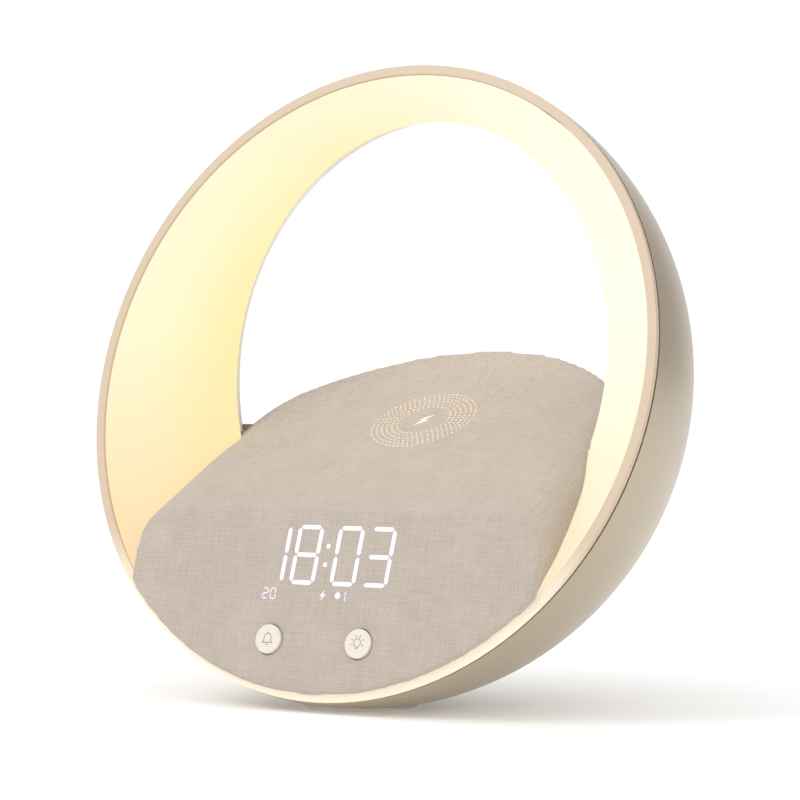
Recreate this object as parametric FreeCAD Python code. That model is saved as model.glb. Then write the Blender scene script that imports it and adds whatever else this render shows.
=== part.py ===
import FreeCAD, Part
import math
import os

# Sunrise alarm clock: a leaning ring-shaped lamp with a fabric-covered body in its lower half.
# Ring frame: X right, Y back from the rim plane, Z up along the rim plane, origin at the rim's centre.
# Part frame: X right, Y back, Z up from the foot's underside, origin below the rim's centre.
V = FreeCAD.Vector

# Stance
lean_deg = 15.4
rim_height = 115.2

# Outer shell, a spheroid about the ring's axis
rim_radius = 115.0
shell_radius = 115.2
shell_half_depth = 108.0
shell_set_back = 3.9
shell_pole_flat = 5.0
shell_wall = 2.4
cover_wall = 2.4

# Rim band and parting seal
band_inner_radius = 111.8
band_thickness = 2.0
band_skirt_wall = 0.6
band_skirt_length = 6.0
seal_thickness = 0.7
seal_inner_radius = 112.5
seal_outer_radius = 114.6

# Lit wall, from the rim's inner edge to an oval throat
throat_half_width = 78.46
throat_half_height = 86.89
throat_rise = 14.56
throat_depth = 32.2
throat_tilt_deg = 8.27
diffuser_radial_wall = 2.6
diffuser_front_trim = 0.8

# Back opening of the ring and the wall that flares out to it
back_cut_depth = 61.5
back_cut_slope = 0.25
flare_radial_wall = 3.0

# Fabric body: a display face and a charging pad
face_proud = 4.0
pad_slope_deg = 43.07
pad_offset = 33.0
body_half_width = 83.2
body_corner_radius = 16.0
body_back_radius = 84.2
pad_centre_rise = -24.3
pad_centre_depth = 23.0
lip_radius = 113.2
fabric_thickness = 1.0
core_wall = 2.2

# Rear deck, level, below the rim's centre
deck_drop = 18.0
deck_thickness = 2.4
body_tuck = 12.0

# Display
display_rise = -67.5
display_width = 74.0
display_height = 33.0
display_mask_depth = 6.0
display_frame_wall = 1.6
digit_height = 19.5
digit_width = 9.0
digit_stroke = 1.5
digit_pitch = 13.1
digit_centre = 8.4
digit_rise = -65.0
board_thickness = 1.6
front_board_width = 84.0
front_board_height = 36.0
front_tab_half_width = 23.0
front_tab_bottom = -98.0

# Buttons
button_radius = 5.15
button_spacing = 37.0
button_rise = -95.1
button_proud = 1.2
button_travel = 0.6
button_flange_radius = 6.6
button_flange_thickness = 1.2
button_stem_radius = 2.6
button_stem_length = 1.2
button_side_clearance = 0.3
button_seat_clearance = 0.2
dome_radius = 4.2
dome_wall = 0.5
dome_clearance = 0.3

# Charging coil under the pad
coil_depth = 43.8
coil_rise = -4.7
coil_outer_radius = 24.0
coil_inner_radius = 10.5
coil_thickness = 1.6
ferrite_radius = 26.0
ferrite_thickness = 0.8
charger_board_size = 50.0

# Light engine inside the ring
led_ring_front = 11.0
led_strip_width = 8.0
led_strip_thickness = 0.5
led_carrier_radius = 110.0
led_carrier_wall = 1.1
led_carrier_margin = 1.5
led_count = 60
led_length = 3.5
led_width = 2.8
led_thickness = 1.2

# Foot and ballast
flat_height = 1.1
foot_radius = 20.0
foot_recess = 0.6
foot_edge = 0.4
boss_radius = 27.0
boss_top = 5.0
ballast_top = 17.0
ballast_back = 22.0

# Rear cover details
cover_lip_length = 6.0
cover_lip_root = 3.0
cover_lip_wall = 1.8
screw_angles = (-152.0, -112.0, -68.0, -28.0)
screw_circle_inset = 7.2
screw_head_radius = 2.8
screw_head_height = 1.6
screw_shank_radius = 1.25
screw_length = 8.0
screw_seat = 2.2
screw_well_wall = 1.8
screw_boss_radius = 6.4
screw_boss_length = 12.0
speaker_height = 68.0
speaker_front = 88.0
speaker_radius = 18.5
speaker_seat_wall = 3.0
speaker_flange = 1.6
speaker_basket_depth = 9.0
basket_floor = 1.0
magnet_radius = 11.0
magnet_depth = 6.0
cone_radius = 14.4
cone_neck_radius = 5.5
cone_lift = 2.0
cone_rim_width = 1.5
cone_wall = 0.4
voice_coil_wall = 1.0
grille_radius = 12.5
grille_slot_height = 1.6
grille_slot_pitch = 3.6
grille_slots_each_side = 3

# Main board and what it carries
board_height = 44.0
board_front = 42.0
board_back = 84.0
board_half_width = 34.0
board_margin = 0.6
post_radius = 3.0
post_half_spacing = 22.0
post_front = 62.0
post_back = 77.0
board_parts = (
    ("processor", -30.0, 58.0, 9.0, 9.0, 1.4),
    ("memory", -12.0, 46.0, 7.0, 5.0, 1.2),
    ("power inductor", 12.0, 66.0, 6.0, 6.0, 5.0),
    ("radio", 24.0, 50.0, 5.0, 5.0, 3.0),
    ("buzzer", -12.0, 62.0, 8.0, 8.0, 3.0),
)
inlet_width = 8.94
inlet_height = 3.2
inlet_length = 7.4
inlet_wall = 0.35
inlet_floor = 1.0
inlet_tongue = 0.7
cell_radius = 10.0
cell_thickness = 3.2
cell_front_margin = 3.0
holder_wall = 1.2

# Fits
running_gap = 0.3
snug_gap = 0.05
overrun = 1.0

# Where the seams of round faces lie: a turn from the side to the top
seam_turn_deg = -90.0

lean = math.radians(lean_deg)
throat_tilt = math.radians(throat_tilt_deg)
pad_slope = math.radians(pad_slope_deg)
big = 3.0 * shell_radius
ring_axis = V(0, 1, 0)
pad_normal = V(0, -math.sin(pad_slope), math.cos(pad_slope))
pad_run = V(0, math.cos(pad_slope), math.sin(pad_slope))
pad_centre = V(0, pad_centre_depth, pad_centre_rise)
back_normal = V(0, 1, back_cut_slope).normalize()
throat_normal = V(0, math.cos(throat_tilt), math.sin(throat_tilt))
throat_centre = V(0, throat_depth, throat_rise)
seal_front = band_thickness
shell_front = band_thickness + seal_thickness
skin_total = fabric_thickness + core_wall
core_back = skin_total - face_proud
board_front_depth = core_back + display_mask_depth
deck_level = rim_height - deck_drop
to_part = FreeCAD.Placement(V(0, 0, rim_height), FreeCAD.Rotation(V(1, 0, 0), -lean_deg))
to_ring = to_part.inverse()


def in_part(shape):
    """Carry a shape from the ring frame to the part frame."""
    carried = shape.copy()
    carried.Placement = to_part.multiply(carried.Placement)
    return carried


def in_ring(shape):
    """Carry a shape from the part frame to the ring frame."""
    carried = shape.copy()
    carried.Placement = to_ring.multiply(carried.Placement)
    return carried


def beyond(point, normal):
    """Large block on the side of a plane that the normal points to."""
    block = Part.makeBox(2 * big, 2 * big, big, V(-big, -big, 0))
    block.Placement = FreeCAD.Placement(point, FreeCAD.Rotation(V(0, 0, 1), normal))
    return block


def slab(point, normal, start, stop):
    """Large plate between two parallel planes, measured along the normal."""
    block = Part.makeBox(2 * big, 2 * big, stop - start, V(-big, -big, start))
    block.Placement = FreeCAD.Placement(point, FreeCAD.Rotation(V(0, 0, 1), normal))
    return block


def rod(point, direction, start, stop, radius):
    """Cylinder along a direction, between two distances from a point."""
    return Part.makeCylinder(radius, stop - start, point + direction * start, direction)


def tube(point, direction, start, stop, outer, inner):
    """Hollow cylinder along a direction."""
    bore = rod(point, direction, start - overrun, stop + overrun, inner)
    return rod(point, direction, start, stop, outer).cut(bore)


def spheroid(inset):
    """Solid of revolution about the ring's axis, inset from the shell's outer skin."""
    centre = V(0, shell_set_back, 0)
    curve = Part.Ellipse(centre, shell_radius - inset, shell_half_depth - inset)
    turn = math.acos(shell_pole_flat / (shell_radius - inset))
    arc = Part.ArcOfEllipse(curve, -turn, turn).toShape()
    front = arc.Vertexes[0].Point
    back = arc.Vertexes[-1].Point
    closing = Part.makePolygon([back, V(0, back.y, 0), V(0, front.y, 0), front])
    solid = Part.Face(Part.Wire([arc] + closing.Edges)).revolve(V(0, 0, 0), ring_axis, 360)
    solid.rotate(V(0, 0, 0), ring_axis, seam_turn_deg)
    return solid


def oval(centre, side, up):
    """Closed oval wire with its half axes given as vectors, its seam at the top."""
    matrix = FreeCAD.Matrix()
    matrix.A11, matrix.A21, matrix.A31 = up.x, up.y, up.z
    matrix.A12, matrix.A22, matrix.A32 = side.x, side.y, side.z
    third = up.cross(side).normalize()
    matrix.A13, matrix.A23, matrix.A33 = third.x, third.y, third.z
    matrix.A14, matrix.A24, matrix.A34 = centre.x, centre.y, centre.z
    return Part.Wire(Part.makeCircle(1.0).transformGeometry(matrix).Edges)


def funnel_section(share, grow):
    """Oval of the lit wall, from the rim (share 0) to the throat (share 1) and past both."""
    rim = 1.0 - share
    side = V((band_inner_radius + grow) * rim + (throat_half_width + grow) * share, 0, 0)
    throat_up = V(0, -math.sin(throat_tilt), math.cos(throat_tilt)) * (throat_half_height + grow)
    up = V(0, 0, band_inner_radius + grow) * rim + throat_up * share
    return oval(throat_centre * share, side, up)


def funnel(grow):
    """Solid filling of the lit wall's funnel, run past the rim and the throat."""
    return Part.makeLoft([funnel_section(-0.3, grow), funnel_section(1.3, grow)], True, True)


def back_oval(inset):
    """Section of the shell's spheroid by the back cut, as centre and half axes."""
    wide = shell_radius - inset
    deep = shell_half_depth - inset
    reach = back_cut_depth - shell_set_back
    stretch = 1 / wide ** 2 + (back_cut_slope / deep) ** 2
    middle = back_cut_slope * reach / deep ** 2 / stretch
    left = 1 - (reach / deep) ** 2 + stretch * middle ** 2
    centre = V(0, back_cut_depth - back_cut_slope * middle, middle)
    rise = math.sqrt(left / stretch)
    return centre, V(wide * math.sqrt(left), 0, 0), V(0, -back_cut_slope, 1) * rise


def before_back_cut(offset):
    """Region in front of the back cut, moved back by an offset."""
    return beyond(V(0, back_cut_depth, 0) + back_normal * offset, back_normal * -1)


def behind_back_cut(offset):
    """Region behind the back cut, moved back by an offset."""
    return beyond(V(0, back_cut_depth, 0) + back_normal * offset, back_normal)


def below_level(height):
    """Region under a level plane of the part frame, in the ring frame."""
    return in_ring(beyond(V(0, 0, height), V(0, 0, -1)))


def above_level(height):
    """Region over a level plane of the part frame, in the ring frame."""
    return in_ring(beyond(V(0, 0, height), V(0, 0, 1)))


def body_sweep(inset):
    """Face outline with two rounded top corners, swept along the pad's slope."""
    depth = inset - face_proud
    top = (depth * math.sin(pad_slope) - pad_offset - inset) / math.cos(pad_slope)
    half = body_half_width - inset
    corner = body_corner_radius - inset
    low = -2 * rim_radius
    shoulder = top - corner
    inward = half - corner
    bend = corner * math.sqrt(0.5)
    start = V(-half, depth, low)
    right_low = V(half, depth, low)
    left_side = V(-half, depth, shoulder)
    left_mid = V(-inward - bend, depth, shoulder + bend)
    left_top = V(-inward, depth, top)
    right_top = V(inward, depth, top)
    right_mid = V(inward + bend, depth, shoulder + bend)
    right_side = V(half, depth, shoulder)
    edges = [
        Part.makeLine(start, left_side),
        Part.Arc(left_side, left_mid, left_top).toShape(),
        Part.makeLine(left_top, right_top),
        Part.Arc(right_top, right_mid, right_side).toShape(),
        Part.makeLine(right_side, right_low),
        Part.makeLine(right_low, start),
    ]
    return Part.Face(Part.Wire(edges)).extrude(pad_run * big)


def body_back(inset):
    """Round back outline of the body, open towards the face."""
    round_end = rod(pad_centre, pad_normal, -big, big, body_back_radius - inset)
    front = beyond(pad_centre, pad_run * -1)
    return round_end.fuse(front)


def body_room(inset):
    """Space that the lit wall, the rim and the deck leave for the body."""
    lip_back = -running_gap - inset
    lip = rod(V(0, 0, 0), ring_axis, -big, lip_back, lip_radius - inset)
    in_front_of_throat = beyond(throat_centre, throat_normal * -1)
    inside = funnel(-running_gap - inset).common(in_front_of_throat)
    inside = inside.common(beyond(V(0, lip_back, 0), ring_axis))
    behind = beyond(throat_centre + throat_normal * (running_gap + inset), throat_normal)
    behind = behind.common(above_level(deck_level - body_tuck)).common(spheroid(cover_wall + running_gap))
    return lip, inside, behind


def body(inset):
    """Fabric body's outer form, inset from the fabric's surface."""
    form = body_sweep(inset).common(body_back(inset))
    pieces = [form.common(room) for room in body_room(inset)]
    joined = pieces[0].fuse(pieces[1:])
    bridge = form.common(funnel(-running_gap - inset))
    bridge = bridge.common(slab(throat_centre, throat_normal, -overrun, overrun + inset))
    joined = joined.fuse(bridge.common(above_level(deck_level - body_tuck)))
    return joined.removeSplitter()


def body_passage():
    """Body's form grown by the running gap, to cut the pieces around it."""
    grown = -running_gap
    form = body_sweep(grown).common(body_back(grown))
    return form.common(above_level(deck_level - deck_thickness - overrun))


def make_outer_shell():
    skin = spheroid(0).cut(spheroid(shell_wall))
    skin = skin.common(beyond(V(0, shell_front, 0), ring_axis)).common(before_back_cut(0))
    boss = in_ring(rod(V(0, 0, 0), V(0, 0, 1), 0, boss_top, boss_radius)).common(spheroid(0))
    skin = skin.fuse(boss.common(behind_light_ring()))
    for point in screw_points():
        post = rod(point, back_normal, -screw_boss_length, 0, screw_boss_radius)
        skin = skin.fuse(post.common(spheroid(shell_wall / 2)))
    for point in screw_points():
        bore = screw_shank_radius + snug_gap
        skin = skin.cut(rod(point, back_normal, -screw_length - overrun, overrun, bore))
    skin = skin.cut(below_level(flat_height))
    recess = rod(V(0, 0, 0), V(0, 0, 1), 0, flat_height + foot_recess, foot_radius + running_gap)
    return skin.cut(in_ring(recess))


def make_foot_pad():
    pad = rod(V(0, 0, 0), V(0, 0, 1), 0, flat_height + foot_recess, foot_radius)
    rim = [edge for edge in pad.Edges if edge.BoundBox.ZMax < 0.01 and edge.Closed]
    return in_ring(pad.makeChamfer(foot_edge, rim))


def make_ballast():
    block = spheroid(shell_wall + running_gap).common(above_level(boss_top)).common(below_level(ballast_top))
    block = block.cut(funnel(diffuser_radial_wall + running_gap))
    block = block.common(behind_light_ring())
    return block.common(in_ring(beyond(V(0, ballast_back, 0), V(0, -1, 0))))


def led_ring_back():
    """Depth of the light carrier's rear edge."""
    return led_ring_front + led_strip_width + led_carrier_margin


def behind_light_ring():
    """Region behind the light carrier."""
    return beyond(V(0, led_ring_back() + running_gap, 0), ring_axis)


def make_rim_band():
    flange = tube(V(0, 0, 0), ring_axis, 0, band_thickness, rim_radius, band_inner_radius)
    skirt_outer = band_inner_radius + band_skirt_wall
    skirt = tube(V(0, 0, 0), ring_axis, band_thickness, band_thickness + band_skirt_length,
                 skirt_outer, band_inner_radius)
    return flange.fuse(skirt).removeSplitter()


def make_parting_seal():
    return tube(V(0, 0, 0), ring_axis, seal_front, shell_front, seal_outer_radius, seal_inner_radius)


def make_diffuser():
    wall = funnel(diffuser_radial_wall).cut(funnel(0))
    wall = wall.common(beyond(throat_centre, throat_normal * -1))
    wall = wall.common(beyond(V(0, diffuser_front_trim, 0), ring_axis))
    collar_back = band_thickness + band_skirt_length + running_gap
    collar = tube(V(0, 0, 0), ring_axis, -overrun, collar_back, big, band_inner_radius - running_gap)
    return wall.cut(collar)


def flare(grow):
    """Filling of the wall that flares from the throat to the ring's back opening."""
    up = V(0, -math.sin(throat_tilt), math.cos(throat_tilt)) * (throat_half_height + grow)
    front = oval(throat_centre, V(throat_half_width + grow, 0, 0), up)
    centre, side, rise = back_oval(shell_wall + running_gap)
    side = side + V(grow, 0, 0)
    rise = rise * ((rise.Length + grow) / rise.Length)
    return Part.makeLoft([front, oval(centre, side, rise)], True, True)


def make_ring_back():
    wall = flare(flare_radial_wall).cut(flare(0))
    wall = wall.common(spheroid(shell_wall + running_gap))
    wall = wall.common(above_level(deck_level - deck_thickness))
    return wall.cut(body_passage())


def screw_points():
    """Points on the back cut where the cover's screws pass."""
    centre, side, rise = back_oval(screw_circle_inset)
    angles = [math.radians(angle) for angle in screw_angles]
    return [centre + side * math.cos(angle) + rise * math.sin(angle) for angle in angles]


def grille_slots():
    """Level slots of the speaker grille, which fill a circle."""
    slots = []
    for number in range(-grille_slots_each_side, grille_slots_each_side + 1):
        rise = number * grille_slot_pitch
        half = math.sqrt(grille_radius ** 2 - rise ** 2)
        corner = V(-half, speaker_front, speaker_height + rise - grille_slot_height / 2)
        slots.append(in_ring(Part.makeBox(2 * half, big, grille_slot_height, corner)))
    return slots


def inlet_box(grow, start, stop):
    """Rounded slot of the power inlet, grown all round, in the part frame."""
    height = inlet_height + 2 * grow
    width = inlet_width + 2 * grow
    middle = board_height + board_thickness + inlet_height / 2
    corner = height / 2 - snug_gap
    box = Part.makeBox(width, stop - start, height, V(-width / 2, start, middle - height / 2))
    along = [edge for edge in box.Edges if abs(edge.tangentAt(edge.FirstParameter).y) > 0.9]
    return box.makeFillet(corner, along)


def board_posts():
    """Positions of the posts under the main board."""
    across = (-post_half_spacing, post_half_spacing)
    return [(x, y) for x in across for y in (post_front, post_back)]


def make_rear_cover():
    behind = behind_back_cut(running_gap)
    below = below_level(deck_level)
    dome = spheroid(0).common(behind).common(below)
    hollow = spheroid(cover_wall).common(below_level(deck_level - deck_thickness))
    cover = dome.cut(hollow)
    root = spheroid(cover_wall / 2).cut(spheroid(shell_wall + running_gap + cover_lip_wall))
    root = root.common(behind).common(before_back_cut(cover_lip_root))
    lip = spheroid(shell_wall + running_gap).cut(spheroid(shell_wall + running_gap + cover_lip_wall))
    lip = lip.common(behind_back_cut(-cover_lip_length)).common(before_back_cut(cover_lip_root))
    trim = below_level(deck_level - deck_thickness)
    cover = cover.fuse([root.common(trim), lip.common(trim)])
    for point in screw_points():
        outer = screw_head_radius + running_gap + screw_well_wall
        well = rod(point, back_normal, running_gap, big, outer).common(spheroid(0)).common(below)
        cover = cover.fuse(well)
        clear = screw_boss_radius + running_gap
        cover = cover.cut(rod(point, back_normal, -screw_boss_length - overrun, running_gap, clear))
    cover = cover.fuse(rear_fittings())
    for point in screw_points():
        seat = running_gap + screw_seat
        cover = cover.cut(rod(point, back_normal, seat, big, screw_head_radius + running_gap))
        bore = screw_shank_radius + running_gap
        cover = cover.cut(rod(point, back_normal, -overrun, seat + overrun, bore))
    cover = cover.cut(grille_slots())
    port = inlet_box(running_gap, board_back, big)
    cover = cover.cut(in_ring(port))
    return cover.cut(body_passage())


def rear_fittings():
    """Speaker seat and board posts that stand on the cover's inside."""
    seat = tube(V(0, 0, speaker_height), V(0, 1, 0), speaker_front, big,
                speaker_radius, speaker_radius - speaker_seat_wall)
    fittings = [seat]
    for x, y in board_posts():
        fittings.append(rod(V(x, y, 0), V(0, 0, 1), 0, board_height, post_radius))
    inside = spheroid(cover_wall / 2).common(behind_back_cut(running_gap))
    return [in_ring(fitting).common(inside) for fitting in fittings]


def make_fabric_cover():
    cover = body(0).cut(body(fabric_thickness))
    for x in button_places().values():
        cover = cover.cut(button_hole(x))
    return cover


def button_places():
    return {"bell": -button_spacing / 2, "light": button_spacing / 2}


def make_body_core():
    core = body(fabric_thickness).cut(body(skin_total))
    core = core.cut(display_window(0))
    for x in button_places().values():
        core = core.cut(button_hole(x))
    return core


def display_window(grow):
    """Window behind the fabric that the display shines through."""
    width = display_width - 2 * display_frame_wall + 2 * grow
    height = display_height - 2 * display_frame_wall + 2 * grow
    low = display_rise - height / 2
    front = core_back - core_wall - overrun
    return Part.makeBox(width, core_wall + 2 * overrun, height, V(-width / 2, front, low))


def button_hole(x):
    radius = button_radius + button_side_clearance
    return rod(V(x, 0, button_rise), ring_axis, -face_proud - overrun, core_back + overrun, radius)


def segment_bars(x):
    """Seven slots of one digit."""
    bars = []
    half_width = digit_width / 2
    half_height = digit_height / 2
    reach = half_width - digit_stroke / 2
    for level in (-half_height, 0, half_height):
        bars.append((x - reach, digit_rise + level - digit_stroke / 2, 2 * reach, digit_stroke))
    for side in (-half_width, half_width):
        for base in (-half_height, 0):
            left = x + side - digit_stroke / 2
            bars.append((left, digit_rise + base + digit_stroke, digit_stroke, half_height - 2 * digit_stroke))
    return bars


def digit_places():
    inner = digit_centre
    outer = digit_centre + digit_pitch
    return (-outer, -inner, inner, outer)


def make_display_mask():
    low = display_rise - display_height / 2
    corner = V(-display_width / 2, core_back, low)
    mask = Part.makeBox(display_width, display_mask_depth, display_height, corner)
    front = core_back - overrun
    depth = display_mask_depth + 2 * overrun
    for x in digit_places():
        for left, bottom, width, height in segment_bars(x):
            mask = mask.cut(Part.makeBox(width, depth, height, V(left, front, bottom)))
    for level in (-digit_height / 6, digit_height / 6):
        point = V(0, 0, digit_rise + level)
        mask = mask.cut(rod(point, ring_axis, front, front + depth, digit_stroke / 2))
    return mask


def make_display_leds():
    chips = []
    size = digit_stroke - 2 * running_gap
    for x in digit_places():
        for left, bottom, width, height in segment_bars(x):
            middle = V(left + width / 2, board_front_depth, bottom + height / 2)
            chips.append(Part.makeBox(size, size, size, middle - V(size / 2, size, size / 2)))
    return Part.makeCompound(chips)


def make_front_board():
    low = display_rise - front_board_height / 2
    board = Part.makeBox(front_board_width, board_thickness, front_board_height,
                         V(-front_board_width / 2, board_front_depth, low))
    tab = Part.makeBox(2 * front_tab_half_width, board_thickness, low - front_tab_bottom + overrun,
                       V(-front_tab_half_width, board_front_depth, front_tab_bottom))
    return board.fuse(tab).removeSplitter()


def flange_front():
    return core_back + button_seat_clearance


def make_button(x):
    centre = V(x, 0, button_rise)
    cap = rod(centre, ring_axis, -face_proud - button_proud, flange_front(), button_radius)
    rim = [edge for edge in cap.Edges if edge.Closed and edge.BoundBox.YMax < -face_proud]
    cap = cap.makeFillet(button_proud / 3, rim)
    flange_back = flange_front() + button_flange_thickness
    flange = rod(centre, ring_axis, flange_front(), flange_back, button_flange_radius)
    stem = rod(centre, ring_axis, flange_back, flange_back + button_stem_length, button_stem_radius)
    return cap.fuse([flange, stem]).removeSplitter()


def make_dome(x):
    """Silicone dome between the button's stem and the board."""
    top = flange_front() + button_flange_thickness + button_stem_length + dome_clearance
    height = board_front_depth - top
    point = V(x, top, button_rise)
    outer = Part.makeCone(button_stem_radius, dome_radius, height, point, ring_axis)
    inner = Part.makeCone(button_stem_radius - dome_wall, dome_radius - dome_wall, height - dome_wall,
                          point + ring_axis * dome_wall, ring_axis)
    return outer.cut(inner)


def coil_point(depth):
    """Point under the charging mark, at a depth below the fabric's surface."""
    middle = V(0, coil_depth, coil_rise)
    height = (middle - pad_centre).dot(pad_run)
    surface = pad_normal * -pad_offset
    start = (pad_centre - surface).dot(pad_run)
    return surface + pad_run * (start + height) - pad_normal * depth


def make_charge_coil():
    point = coil_point(skin_total)
    return tube(point, pad_normal * -1, 0, coil_thickness, coil_outer_radius, coil_inner_radius)


def make_ferrite():
    point = coil_point(skin_total + coil_thickness)
    return rod(point, pad_normal * -1, 0, ferrite_thickness, ferrite_radius)


def make_charger_board():
    point = coil_point(skin_total + coil_thickness + ferrite_thickness)
    half = charger_board_size / 2
    board = Part.makeBox(charger_board_size, charger_board_size, board_thickness, V(-half, -half, 0))
    board.Placement = FreeCAD.Placement(point, FreeCAD.Rotation(V(0, 0, 1), pad_normal * -1))
    return board


def make_led_carrier():
    start = led_ring_front - led_carrier_margin
    outer = led_carrier_radius + led_carrier_wall
    return tube(V(0, 0, 0), ring_axis, start, led_ring_back(), outer, led_carrier_radius)


def make_led_strip():
    stop = led_ring_front + led_strip_width
    inner = led_carrier_radius - led_strip_thickness
    return tube(V(0, 0, 0), ring_axis, led_ring_front, stop, led_carrier_radius, inner)


def make_led_chips():
    chips = []
    middle = led_ring_front + led_strip_width / 2
    flat = led_carrier_radius - led_strip_thickness - snug_gap
    inner = flat - led_thickness
    for number in range(led_count):
        corner = V(-led_length / 2, middle - led_width / 2, inner)
        chip = Part.makeBox(led_length, led_width, led_thickness, corner)
        chip.rotate(V(0, 0, 0), ring_axis, 360.0 * number / led_count)
        chips.append(chip)
    return Part.makeCompound(chips)


def make_rear_screws():
    screws = []
    seat = running_gap + screw_seat
    for point in screw_points():
        head = rod(point, back_normal, seat, seat + screw_head_height, screw_head_radius)
        shank = rod(point, back_normal, -screw_length, seat, screw_shank_radius)
        width = screw_shank_radius / 2
        length = 3 * screw_shank_radius
        slot = Part.makeBox(length, width, screw_head_height, V(-length / 2, -width / 2, screw_head_height / 2))
        slot.Placement = FreeCAD.Placement(point + back_normal * seat, FreeCAD.Rotation(V(0, 0, 1), back_normal))
        screws.append(head.fuse(shank).cut(slot))
    return Part.makeCompound(screws)


def basket_back():
    """Where the speaker's basket starts, in front of its flange."""
    return speaker_front - speaker_flange - speaker_basket_depth


def make_speaker_frame():
    centre = V(0, 0, speaker_height)
    back = V(0, 1, 0)
    opening = speaker_radius - speaker_seat_wall
    start = basket_back()
    flange = tube(centre, back, start + speaker_basket_depth, speaker_front, speaker_radius, opening)
    outer = Part.makeCone(magnet_radius, speaker_radius - basket_floor, speaker_basket_depth,
                          centre + back * start, back)
    inner = Part.makeCone(magnet_radius - basket_floor, opening, speaker_basket_depth - basket_floor,
                          centre + back * (start + basket_floor), back)
    magnet = rod(centre, back, start - magnet_depth, start, magnet_radius)
    return in_ring(flange.fuse([outer.cut(inner), magnet]))


def make_speaker_cone():
    centre = V(0, 0, speaker_height)
    back = V(0, 1, 0)
    start = basket_back() + cone_lift
    depth = speaker_basket_depth - cone_lift
    reach = cone_radius - cone_rim_width / 2
    outer = Part.makeCone(cone_neck_radius, reach, depth, centre + back * start, back)
    inner = Part.makeCone(cone_neck_radius - cone_wall, reach - cone_wall, depth,
                          centre + back * (start + cone_wall), back)
    rim = tube(centre, back, start + depth - cone_wall, start + depth, cone_radius,
               cone_radius - cone_rim_width)
    coil_front = start + cone_wall
    coil = tube(centre, back, basket_back() + basket_floor, coil_front, cone_neck_radius,
                cone_neck_radius - voice_coil_wall)
    return in_ring(outer.cut(inner).fuse([rim, coil]))


def make_main_board():
    board = Part.makeBox(2 * board_half_width, board_back - board_front, board_thickness,
                         V(-board_half_width, board_front, board_height))
    return in_ring(board).common(spheroid(cover_wall + board_margin))


def make_board_chips():
    top = board_height + board_thickness
    chips = [Part.makeBox(width, length, height, V(left, front, top))
             for label, left, front, width, length, height in board_parts]
    return in_ring(Part.makeCompound(chips))


def make_inlet():
    start = board_back - inlet_length / 2
    stop = start + inlet_length
    shell = inlet_box(0, start, stop).cut(inlet_box(-inlet_wall, start + inlet_floor, stop + overrun))
    side_room = inlet_height * 3 / 4
    tongue = Part.makeBox(inlet_width - 2 * side_room, inlet_length - 2 * inlet_floor, inlet_tongue)
    middle = board_height + board_thickness + inlet_height / 2
    tongue.translate(V(side_room - inlet_width / 2, start + inlet_floor / 2, middle - inlet_tongue / 2))
    return in_ring(shell.fuse(tongue))


def cell_centre():
    return V(0, board_front + holder_wall + cell_radius + cell_front_margin, 0)


def cell_base():
    return board_height - holder_wall - cell_thickness


def make_coin_cell():
    return in_ring(rod(cell_centre(), V(0, 0, 1), cell_base(), cell_base() + cell_thickness, cell_radius))


def make_cell_holder():
    cup = rod(cell_centre(), V(0, 0, 1), cell_base(), board_height, cell_radius + holder_wall)
    seat = rod(cell_centre(), V(0, 0, 1), cell_base() - overrun, cell_base() + cell_thickness,
               cell_radius + snug_gap)
    return in_ring(cup.cut(seat))


pieces = {
    "outer_shell": make_outer_shell,
    "foot_pad": make_foot_pad,
    "ballast_block": make_ballast,
    "rim_band": make_rim_band,
    "parting_seal": make_parting_seal,
    "diffuser_wall": make_diffuser,
    "ring_back_wall": make_ring_back,
    "rear_cover": make_rear_cover,
    "rear_screws": make_rear_screws,
    "fabric_cover": make_fabric_cover,
    "body_core": make_body_core,
    "display_mask": make_display_mask,
    "display_leds": make_display_leds,
    "front_board": make_front_board,
    "bell_button": lambda: make_button(button_places()["bell"]),
    "light_button": lambda: make_button(button_places()["light"]),
    "bell_dome": lambda: make_dome(button_places()["bell"]),
    "light_dome": lambda: make_dome(button_places()["light"]),
    "charge_coil": make_charge_coil,
    "ferrite_disc": make_ferrite,
    "charger_board": make_charger_board,
    "led_carrier": make_led_carrier,
    "led_strip": make_led_strip,
    "led_chips": make_led_chips,
    "speaker_frame": make_speaker_frame,
    "speaker_cone": make_speaker_cone,
    "main_board": make_main_board,
    "board_chips": make_board_chips,
    "power_inlet": make_inlet,
    "coin_cell": make_coin_cell,
    "cell_holder": make_cell_holder,
}

os.makedirs("parts", exist_ok=True)
for name, make in pieces.items():
    shape = in_part(make())
    box = shape.BoundBox
    print(f"{name:16s} solids {len(shape.Solids):2d} valid {shape.isValid()} volume {shape.Volume:10.1f} "
          f"x {box.XMin:6.1f} {box.XMax:5.1f} y {box.YMin:6.1f} {box.YMax:5.1f} z {box.ZMin:5.1f} {box.ZMax:5.1f}")
    shape.exportStep(f"parts/{name}.step")
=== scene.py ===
"""Dresses the sunrise alarm clock: finishes, fabric skin, lit digits, icons, charging mark and stage."""

import math

import bmesh
import bpy
from mathutils import Matrix, Vector
from mathutils.bvhtree import BVHTree


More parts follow.
